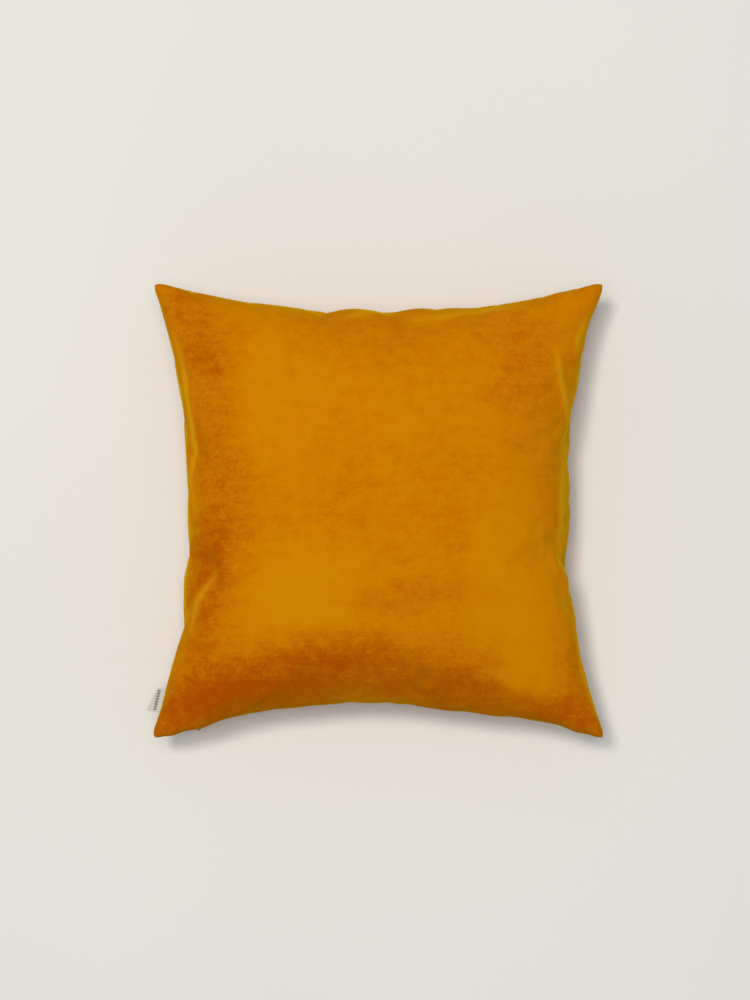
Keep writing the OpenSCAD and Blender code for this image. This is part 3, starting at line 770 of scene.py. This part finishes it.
def clothPoint(u, v, side, inset=0.0, drop=0.0, lift=0.0):
    # Point of a layer of cloth: the bent square in plan, the crown in height, inset and drop inwards. side is 1 for
    # the front and -1 for the back, lift is more gap at the seam. The back is flattened softly where it rests
    c = cushion
    x, y = bentSquare(u, v, inset)
    share = crownShare(u, v)
    gap = c["seamGap"] + (c["zipGap"] - c["seamGap"]) * softStep(-v, 0.9, 0.99) * (
        1 - softStep(np.abs(u) * c["halfWidth"], *c["zipGapEnd"]))
    rise = c["frontRise"] if side > 0 else c["backRise"]
    ridge = ridgeAt(x, y)[0] * (share > 0) if side > 0 else 0
    z = c["seamHeight"] + side * (gap * (1 - share) + lift * (1 - share) ** 6 + (rise - drop) * share)
    z = z + ridge * softStep(share, 0.05, 0.3)
    point = np.stack([x, y, z], -1) + reliefAt(seamShare(u), seamShare(v), side)
    low = point[..., 2] - drop
    point[..., 2] = drop + (low + np.sqrt(low * low + c["rest"] ** 2)) / 2
    return point


# How a panel's allowance is turned back: the gap between the plies, where its raw edge lies as a share of the half
# width, and how round the fold is
turn = {"ply": 0.0002, "raw": 0.985, "bend": 0.45, "foldSteps": 3, "laySteps": 8, "pileSteps": 4}
seamSheen = {"side": (0.045, 0.022, 0.42), "zip": (0.030, 0.020, 0.12)}  # depth, half width, strength of the painted sheen highlight


def evenGrid(cells):
    # rows and columns close together near the edges, where the cloth is steep
    s = np.linspace(-1, 1, cells + 1)
    u = np.sin(s * math.pi / 2)
    return np.meshgrid(u, u, indexing="ij")


def rimOrder(rows, columns):
    # numbers of the boundary points of a grid, anticlockwise
    index = np.arange(rows * columns).reshape(rows, columns)
    return np.concatenate([index[:-1, 0], index[-1, :-1], index[:0:-1, -1], index[0, :0:-1]])


def panel(name, side, inset, drop, thick, cells, keys):
    # One panel as a closed shell: the face, a rounded fold at the seam, the allowance turned back inside as far as
    # its raw edge, and the inner face
    u, v = evenGrid(cells)
    rim = rimOrder(cells + 1, cells + 1)
    edge = np.stack([u.ravel()[rim], v.ravel()[rim]])
    shallow = thick + turn["ply"]
    deep = shallow + thick
    shares = np.sin(np.linspace(1, math.asin(turn["raw"]) * 2 / math.pi, turn["laySteps"] + 1) * math.pi / 2)
    bends = thick * turn["bend"] * (1 - np.cos(np.linspace(0, math.pi / 2, turn["foldSteps"] + 1)[1:]))
    rims = [clothPoint(*edge, side, inset + bend, drop) for bend in [*bends, deep]]
    outside = len(rims) + turn["pileSteps"]  # strips with the pile of the face, before the backing shows
    rims += [clothPoint(*edge * share, side, inset + deep, drop + deep) for share in shares[1:]]
    rims += [clothPoint(*edge * share, side, inset + shallow, drop + shallow, thick) for share in shares[::-1]]
    points = np.concatenate([
        clothPoint(u, v, side, inset, drop).reshape(-1, 3), *rims,
        clothPoint(u, v, side, inset + thick, drop + thick, thick).reshape(-1, 3)])
    faceCount, n = u.size, len(rim)
    last = faceCount + len(rims) * n
    loops = [rim, *(faceCount + i * n + np.arange(n) for i in range(len(rims))), last + rim]
    strips = [np.stack([a, np.roll(a, -1), np.roll(b, -1), b], -1)[:, ::-1] for a, b in zip(loops, loops[1:])]
    face = gridQuads(cells + 1, cells + 1)
    quads = np.concatenate([face, *strips, (face + last)[:, ::-1]])
    slots = (np.arange(len(quads)) >= len(face) + outside * n).astype(int)
    return makeMesh(name, points, quads[:, ::-1] if side < 0 else quads, keys, slots if len(keys) > 1 else None)


def paintSheenLines(piece, side):
    # painted sheen highlight on each point of the face, kept as a point attribute: along the ridges, and in a thin
    # line just inside the seams, where the cloth turns away; weaker along the zip
    u, v = evenGrid(cushion["cells"])
    s, t = np.abs(seamShare(u)), seamShare(v)
    bright = 0
    for depth, seam in ((1 - s, "side"), (1 - t, "side"), (1 + t, "zip")):
        middle, half, glow = seamSheen[seam]
        bright = np.maximum(bright, np.exp(-((depth - middle) / half) ** 2) * glow)
    if side > 0:
        bright = np.maximum(bright, ridgeAt(*bentSquare(u, v, 0))[1])
    values = np.zeros(len(piece.data.vertices), np.float32)
    values[:bright.size] = bright.ravel()
    piece.data.attributes.new("paintedSheen", "FLOAT", "POINT").data.foreach_set("value", values)


for side, word in ((1, "Front"), (-1, "Back")):
    piece = panel("cover" + word, side, 0, 0, cushion["thick"], cushion["cells"], ["velvet", "backing"])
    paintSheenLines(piece, side)
    settle(piece, "pillow", "velvet", "cover_" + word.lower())
print("cover made")

half = studio["floorSize"] / 2
floor = makeMesh("floor", [(-half, -half, 0), (half, -half, 0), (half, half, 0), (-half, half, 0)],
                 [[0, 1, 2, 3]], ["paper"])

seamThread = {"radius": 0.00013, "stitch": 0.0027, "inset": 0.00075, "sway": 0.00023, "rise": 0.00015}
overlock = {"radius": 0.00012, "stitch": 0.0030, "share": 0.9822, "depth": 0.00185, "reach": 0.0005, "thick": 0.0003}


def squareWalk(first, last, count):
    # places on the unit square's edge, anticlockwise from the lower left corner, one unit of k to a side
    k = np.linspace(first, last, count) % 4
    side, s = np.floor(k).astype(int), 2 * (k % 1) - 1
    u = np.choose(side, [s, np.ones_like(s), -s, -np.ones_like(s)])
    v = np.choose(side, [-np.ones_like(s), s, np.ones_like(s), -s])
    return u, v


def evenly(points, others, step):
    # the points again, a step apart along the line, with the other arrays read at the same places
    length = np.concatenate([[0], np.cumsum(np.linalg.norm(np.diff(points, axis=0), axis=1))])
    count = max(int(round(length[-1] / step)), 2)
    at = np.linspace(0, length[-1], count + 1)
    read = [np.stack([np.interp(at, length, a[:, i]) for i in range(3)], -1) for a in [points] + others]
    return at, read


def twisted(base, across, up, stitch, sway, rise, radius, sides, segments, phase=0.0, closed=False):
    # thread that winds round a line: sway across it and rise above it, one turn to a stitch
    at, (line, a, b) = evenly(base, [across, up], stitch / segments)
    a, b = unit(a), unit(b)
    turns = round(at[-1] / stitch)
    angle = (at / at[-1]) * turns * 2 * math.pi + phase
    out = a * np.cos(angle)[:, None] + b * np.sin(angle)[:, None]
    path = line + a * (sway * np.cos(angle))[:, None] + b * (rise * np.sin(angle))[:, None]
    if closed:
        path, out = path[:-1], out[:-1]
    return tube(path, out, radius, sides, closed)


def seamLine(inset, first, last, count=1601):
    # the line midway between the front and the back, with the directions inwards and up
    u, v = squareWalk(first, last, count)
    line = (clothPoint(u, v, 1, inset) + clothPoint(u, v, -1, inset)) / 2
    along = unit(np.gradient(line, axis=0))
    up = np.broadcast_to([0.0, 0.0, 1.0], line.shape)
    return line, np.cross(up, along), up


line, inwards, up = seamLine(seamThread["inset"], 15 / 16, 4 + 1 / 16)
threadPiece("coverSeamStitching", [
    twisted(line, inwards, up, seamThread["stitch"], seamThread["sway"], seamThread["rise"],
            seamThread["radius"], 5, 8, phase) for phase in (0, math.pi)],
    "thread", "sewing_thread", "cover_seam_stitching")

parts = []
for side in (1, -1):
    u, v = squareWalk(0, 4, 1601)
    share, depth = overlock["share"], overlock["depth"]
    line = clothPoint(u * share, v * share, side, depth, depth)
    further = clothPoint(u * (share + 0.002), v * (share + 0.002), side, depth, depth)
    across = unit(further - line)
    normal = np.cross(unit(np.gradient(line, axis=0)), across)
    parts.append(twisted(line, across, normal, overlock["stitch"], overlock["reach"], overlock["thick"],
                         overlock["radius"], 4, 7, closed=True))
threadPiece("coverOverlockThreads", parts, "thread", "sewing_thread", "cover_overlock_threads")
print("cover sewn")

zipper = {
    "length": 0.380, "stop": 0.0025, "coilDepth": 0.0052, "coilThick": 0.002, "tapeDepth": 0.0073,
    "tapeThick": 0.0006, "slit": 0.0005, "coilTop": 0.0024, "wire": 0.00026, "pitch": 0.0014,
    "tapeStraight": 0.0042, "tapeWidth": 0.011, "tapeLean": 0.5, "fullness": 0.7,
}


def onZip(along, depth, height):
    # point at a distance along the zip's arc, a depth inwards of the seam and a height over it
    angle, radius = along / zipRadius, zipRadius + depth
    return np.stack(np.broadcast_arrays(radius * np.sin(angle), zipCentreY + radius * np.cos(angle),
                                        cushion["seamHeight"] + height), -1)


def alongZip(profile, first, last, steps):
    # closed profile of (depth, height) carried along the zip, with flat ends
    profile = np.asarray(profile, float)
    s = np.linspace(first, last, steps + 1)
    points = onZip(s[:, None], profile[None, :, 0], profile[None, :, 1])
    count = len(profile)
    quads = [list(q) for q in gridQuads(steps + 1, count, joined=True)]
    quads += [list(range(count)), list(range((steps + 1) * count - 1, steps * count - 1, -1))]
    girth = np.concatenate([[0], np.cumsum(np.linalg.norm(np.diff(profile, axis=0), axis=1))])
    uv = np.stack([np.repeat(s, count), np.tile(girth, steps + 1)], -1)
    return points.reshape(-1, 3), quads, uv


def tapeProfile(sign):
    # a flat tape beside the coil that leans away towards the fold, with a thicker rounded selvedge
    z, t = zipper, zipper["tapeThick"]
    lean = (z["tapeWidth"] - z["tapeStraight"]) * z["tapeLean"]
    near = [(z["tapeDepth"], 0.0006), (z["tapeDepth"], z["tapeStraight"]),
            (z["tapeDepth"] + lean * 0.5, (z["tapeStraight"] + z["tapeWidth"]) / 2),
            (z["tapeDepth"] + lean * 0.93, z["tapeWidth"] - 0.0005),
            (z["tapeDepth"] + lean * 0.97 - 0.0001, z["tapeWidth"] - 0.0002),
            (z["tapeDepth"] + lean + 0.0002, z["tapeWidth"] + 0.0001)]
    far = [(d + t, h) for d, h in reversed(near[:-1])]
    far[0] = (far[0][0] + 0.0001, far[0][1])
    return [(d, h * sign) for d, h in near + far]


def squared(wave):
    # a sine wave with fuller ends, for coils that are wound flat
    return np.sign(wave) * np.abs(wave) ** zipper["fullness"]


reach = zipper["length"] / 2 - zipper["stop"]
for sign, word in ((1, "front"), (-1, "back")):
    points, quads, uv = alongZip(tapeProfile(sign), -zipper["length"] / 2, zipper["length"] / 2, 190)
    piece = outwards(makeMesh("zipTape" + word.title(), points, quads, ["tape"], uv=uv, sharp=50))
    settle(piece, "pillow", "zip_tape", "zip_tape_" + word)
    # the chain: one strand of nylon wound flat, its heads a little thicker where they meet the other half
    z, wire = zipper, zipper["wire"]
    turns = int(round(2 * reach / z["pitch"]))
    angle = np.linspace(0, turns * 2 * math.pi, turns * 10 + 1)
    middle, centre = (z["slit"] + z["coilTop"]) / 2, z["coilDepth"] + z["coilThick"] / 2
    wide, deep = (z["coilTop"] - z["slit"]) / 2 - wire, z["coilThick"] / 2 - wire
    s = (reach - wire) * (2 * angle / angle[-1] - 1)
    path = onZip(s, centre + deep * squared(np.sin(angle)), sign * (middle - wide * squared(np.cos(angle))))
    radius = wire * (0.92 + 0.22 * np.clip(np.cos(angle), 0, 1) ** 6)
    threadPiece("zipCoil" + word.title(), [tube(path, path - onZip(s, centre, sign * middle) + 1e-6, radius, 5)],
                "coil", "zip_coil", "zip_coil_" + word)

coilStitch = {"height": 0.0027, "depth": 0.0070, "radius": 0.00011, "sway": 0.00011, "stitch": 0.0014}
tapeStitch = {"height": 0.0076, "depth": 0.0085, "radius": 0.00021, "stitch": 0.0030, "dip": 0.00035, "thin": 0.35,
              "end": 0.0005}
parts, rows = [], []
for sign in (1, -1):
    c = coilStitch
    s = np.linspace(-reach, reach, 400)
    line, into, up = (onZip(s, c["depth"], sign * c["height"]), onZip(s, 0.001, 0) - onZip(s, 0, 0),
                      np.broadcast_to([0.0, 0.0, 1.0], (len(s), 3)))
    for phase in (0, math.pi):
        parts.append(twisted(line, into, up, c["stitch"], c["sway"], c["sway"], c["radius"], 4, 5, phase))
    c = tapeStitch
    last = zipper["length"] / 2 - c["end"]
    s = np.linspace(-last, last, int(zipper["length"] / c["stitch"]) * 9 + 1)
    share = np.abs(((s - s[0]) / c["stitch"]) % 1 - 0.5) * 2  # 1 at the ends of a stitch, 0 in its middle
    path = onZip(s, c["depth"] + c["dip"] * share ** 8, sign * c["height"])
    out = onZip(s, -0.001, 0) - onZip(s, 0, 0)
    rows.append(tube(path, out, c["radius"] * (1 - c["thin"] * share ** 6), 6))
threadPiece("zipCoilThreads", parts, "tapeThread", "zip_tape", "zip_coil_threads")
threadPiece("zipTapeStitching", rows, "thread", "sewing_thread", "zip_tape_stitching")

barTack = {"at": 0.193, "length": 0.0026, "passes": 13, "half": 0.0023, "radius": 0.00017, "depth": 0.00035,
           "bow": 0.00055, "rowHeight": 0.0009, "rowDepth": 0.00022, "rowDip": 0.0002}
parts = []
for end in (-1, 1):
    b = barTack
    angle = np.linspace(0, b["passes"] * math.pi, b["passes"] * 10 + 1)
    s = end * b["at"] + (angle / angle[-1] - 0.5) * b["length"]
    height = b["half"] * np.cos(angle)
    depth = b["depth"] - b["bow"] * np.abs(np.sin(angle)) ** 0.4
    path = onZip(s, depth, height)
    parts.append(tube(path, onZip(s, depth - 0.001, height) - path + 1e-7, b["radius"], 6))
    for height in (-b["rowHeight"], b["rowHeight"]):  # two rows laid lengthwise under the bars
        share = np.linspace(-1, 1, 15)
        s = share * b["length"] * 0.55 + end * b["at"]
        path = onZip(s, b["rowDepth"] + b["rowDip"] * np.abs(share) ** 6, height)
        parts.append(tube(path, onZip(s, -0.001, height) - path, b["radius"], 6))
threadPiece("zipBarTacks", parts, "thread", "sewing_thread", "zip_bar_tacks")


def softened(name, node, body, slotName, key, width):
    # a copy of a metal part with its edges rounded, as a casting leaves them
    work = bmesh.new()
    work.from_mesh(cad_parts[node].data)
    bmesh.ops.remove_doubles(work, verts=work.verts, dist=2e-6)
    bmesh.ops.dissolve_limit(work, angle_limit=math.radians(0.6), verts=work.verts, edges=work.edges)
    edges = [e for e in work.edges if len(e.link_faces) == 2 and e.calc_face_angle(0) > math.radians(35)]
    bmesh.ops.bevel(work, geom=edges, offset=width, offset_type="OFFSET", segments=3, profile=0.5,
                    affect="EDGES", clamp_overlap=True)
    bmesh.ops.triangulate(work, faces=[f for f in work.faces if len(f.verts) > 4])
    mesh = bpy.data.meshes.new(name)
    work.to_mesh(mesh)
    work.free()
    mesh.materials.clear()
    mesh.materials.append(finishes[key])
    mesh.polygons.foreach_set("material_index", np.zeros(len(mesh.polygons), np.int32))
    mesh.polygons.foreach_set("use_smooth", np.ones(len(mesh.polygons), bool))
    mesh.set_sharp_from_angle(angle=math.radians(38))
    piece = bpy.data.objects.new(name, mesh)
    bpy.context.scene.collection.objects.link(piece)
    settle(piece, body, slotName, node)


softened("zipTopStops", "zip_top_stops", "pillow", "stop_metal", "stopMetal", 0.00022)
softened("zipBottomStop", "zip_bottom_stop", "pillow", "stop_metal", "stopMetal", 0.00022)
softened("zipSlider", "zip_slider_body", "zip_slider", "zip_metal", "zipMetal", 0.00012)
softened("zipPull", "zip_pull", "zip_pull_tab", "zip_metal", "zipMetal", 0.00020)
print("zip made")


def thickSheet(centre, thick, uv):
    # a sheet given by its middle surface, a grid of points, made into a closed cloth of that thickness
    normal = unit(np.cross(np.gradient(centre, axis=0), np.gradient(centre, axis=1)))
    rows, columns = centre.shape[:2]
    count = rows * columns
    top = (centre + normal * thick / 2).reshape(-1, 3)
    bottom = (centre - normal * thick / 2).reshape(-1, 3)
    rim = rimOrder(rows, columns)
    ring = np.stack([rim, np.roll(rim, -1), np.roll(rim, -1) + count, rim + count], -1)[:, ::-1]
    quads = np.concatenate([gridQuads(rows, columns), gridQuads(rows, columns, count)[:, ::-1], ring])
    return np.concatenate([top, bottom]), quads, np.concatenate([uv, uv])


def foldedStrip(origin, outDirection, alongDirection, width, tail, out, gap, curl, skew=0.0):
    # a strip folded in half: out along the lower ply, round the fold and back along the upper one.
    # curl lifts the free end a little, more towards the middle of its width, and skew makes one corner reach further
    up = np.array([0, 0, 1.0])
    straight = np.linspace(-tail, out - gap, 26)
    bendAngle = np.linspace(-math.pi / 2, math.pi / 2, 7)[1:-1]
    reach = np.concatenate([straight, out - gap + gap * np.cos(bendAngle), straight[::-1]])
    height = np.concatenate([-gap + 0 * straight, gap * np.sin(bendAngle), gap + 0 * straight])
    across = np.linspace(-width / 2, width / 2, 15)
    lift = curl * np.clip(reach / out, 0, 1)[:, None] ** 2 * (
        np.cos(across / width * 2 * math.pi) * 0.6 + np.sin(across / width * 3.1) * 0.8)[None]
    reach = reach[:, None] * (1 - skew * np.clip(reach, 0, out)[:, None] / out * across[None] / width)
    centre = (origin + reach[..., None] * outDirection
              + across[None, :, None] * alongDirection + (height[:, None] + lift)[..., None] * up)
    uv = np.stack(np.broadcast_arrays(across[None] + width / 2, reach), -1).reshape(-1, 2)
    return centre, uv


sideLabel = {"v": -201 / 240, "width": 0.026, "tail": 0.008, "out": 0.012, "gap": 0.00013, "ply": 0.00021,
             "curl": 0.00045, "skew": 0.52}
v = sideLabel["v"]
labelSeam = np.array([-(cushion["halfWidth"] - cushion["bowLeft"] * (1 - v * v)), v * cushion["halfHeight"],
                      cushion["seamHeight"]])
slant = math.atan(2 * cushion["bowLeft"] * -v / cushion["halfHeight"])
labelOut = np.array([-math.cos(slant), math.sin(slant), 0])
labelAlong = np.array([math.sin(slant), math.cos(slant), 0])
centre, uv = foldedStrip(labelSeam, labelOut, labelAlong, sideLabel["width"], sideLabel["tail"],
                         sideLabel["out"], sideLabel["gap"], sideLabel["curl"], sideLabel["skew"])
points, quads, uv = thickSheet(centre, sideLabel["ply"], uv)
label = outwards(makeMesh("sideLabel", points, quads, ["label"], uv=uv, sharp=60))
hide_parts("side_label", "side_label_tails")
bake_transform(label)

careLabel = {"half": 28 / 480, "inner": 0.83, "outer": 0.95, "inset": 0.00715, "drop": 0.00125, "thick": 0.0003}
r = np.linspace(careLabel["inner"], careLabel["outer"], 24)[:, None]
across = np.linspace(-careLabel["half"], careLabel["half"], 15)[None]
depth = careLabel["thick"] / 2
centre = clothPoint(-r + 0 * across, across * r, -1, careLabel["inset"] + depth, careLabel["drop"] + depth)
length = np.linalg.norm(np.diff(centre[:, 7], axis=0), axis=1).sum()
uv = np.stack(np.broadcast_arrays(across * cushion["halfHeight"] + 0.014, (r - r[0]) / (r[-1] - r[0]) * length), -1)
points, quads, uv = thickSheet(centre, careLabel["thick"], uv.reshape(-1, 2))
piece = outwards(makeMesh("careLabel", points, quads, ["satin"], uv=uv, sharp=60))
settle(piece, "pillow", "care_satin", "care_label")

insert = {
    "inset": 0.013, "drop": 0.0015, "thick": 0.0006, "cells": 104,
    "fillInset": 0.0169, "fillDrop": 0.0031, "fillCells": 112, "lump": 0.0011,
    "thread": 0.00012, "sway": 0.00016, "stitch": 0.0028, "seamInset": 0.00055,
    "labelV": 0.3, "labelWidth": 0.024, "labelOut": 0.005, "labelIn": 0.0006, "labelGap": 0.00011,
    "labelPly": 0.00018, "labelCurl": 0.0003,
}
for side, word in ((1, "Front"), (-1, "Back")):
    piece = panel("insertCasing" + word, side, insert["inset"], insert["drop"], insert["thick"], insert["cells"],
                  ["cotton"])
    settle(piece, "pillow", "insert_cotton", "insert_casing_" + word.lower())
line, inwards, up = seamLine(insert["inset"] + insert["seamInset"], 0, 4)
threadPiece("insertSeamStitching", [
    twisted(line, inwards, up, insert["stitch"], insert["sway"], insert["thread"], insert["thread"], 4, 6, phase,
            closed=True) for phase in (0, math.pi)],
    "insertThread", "insert_thread", "insert_seam_stitching")

# the filling: one closed form, front and back meeting in a rounded edge, with the shallow lumps of loose fibre
cells = insert["fillCells"]
u, v = evenGrid(cells)
frontIndex, backIndex, inner = panelIndices(cells)
shells = []
for side in (1, -1):
    point = clothPoint(u, v, side, insert["fillInset"], insert["fillDrop"])
    x, y = point[..., 0], point[..., 1]
    lump = (np.sin(x * 61 + 2.1 * np.sin(y * 43)) * np.sin(y * 57 + 1.7 * np.sin(x * 39 + side))
            + 0.5 * np.sin(x * 137 + y * 60 + side) * np.sin(y * 151 - x * 42))
    point[..., 2] -= side * insert["lump"] * (lump * 0.5 + 0.75) * crownShare(u, v)
    shells.append(point)
rim = (shells[0] + shells[1]) / 2
points = np.concatenate([shells[0].reshape(-1, 3), shells[1][inner]])
points[frontIndex[~inner]] = rim[~inner]
frontQuads = gridQuads(cells + 1, cells + 1)
backQuads = backIndex.ravel()[frontQuads][:, ::-1]
piece = makeMesh("insertFilling", points, np.concatenate([frontQuads, backQuads]), ["fibre"])
settle(piece, "pillow", "filling_fibre", "insert_filling")

i = insert
place = np.array([i["labelV"] - 0.002, i["labelV"], i["labelV"] + 0.002])
line = (clothPoint(np.ones(3), place, 1, i["inset"]) + clothPoint(np.ones(3), place, -1, i["inset"])) / 2
along = unit(line[2] - line[0])
outDirection = unit(np.cross(along, np.array([0, 0, 1.0])))
centre, uv = foldedStrip(line[1], outDirection, along, i["labelWidth"], i["labelIn"], i["labelOut"], i["labelGap"],
                         i["labelCurl"])
points, quads, uv = thickSheet(centre, i["labelPly"], uv)
piece = outwards(makeMesh("insertLabel", points, quads, ["satin"], uv=uv, sharp=60))
settle(piece, "pillow", "care_satin", "insert_label")
print("insert made")
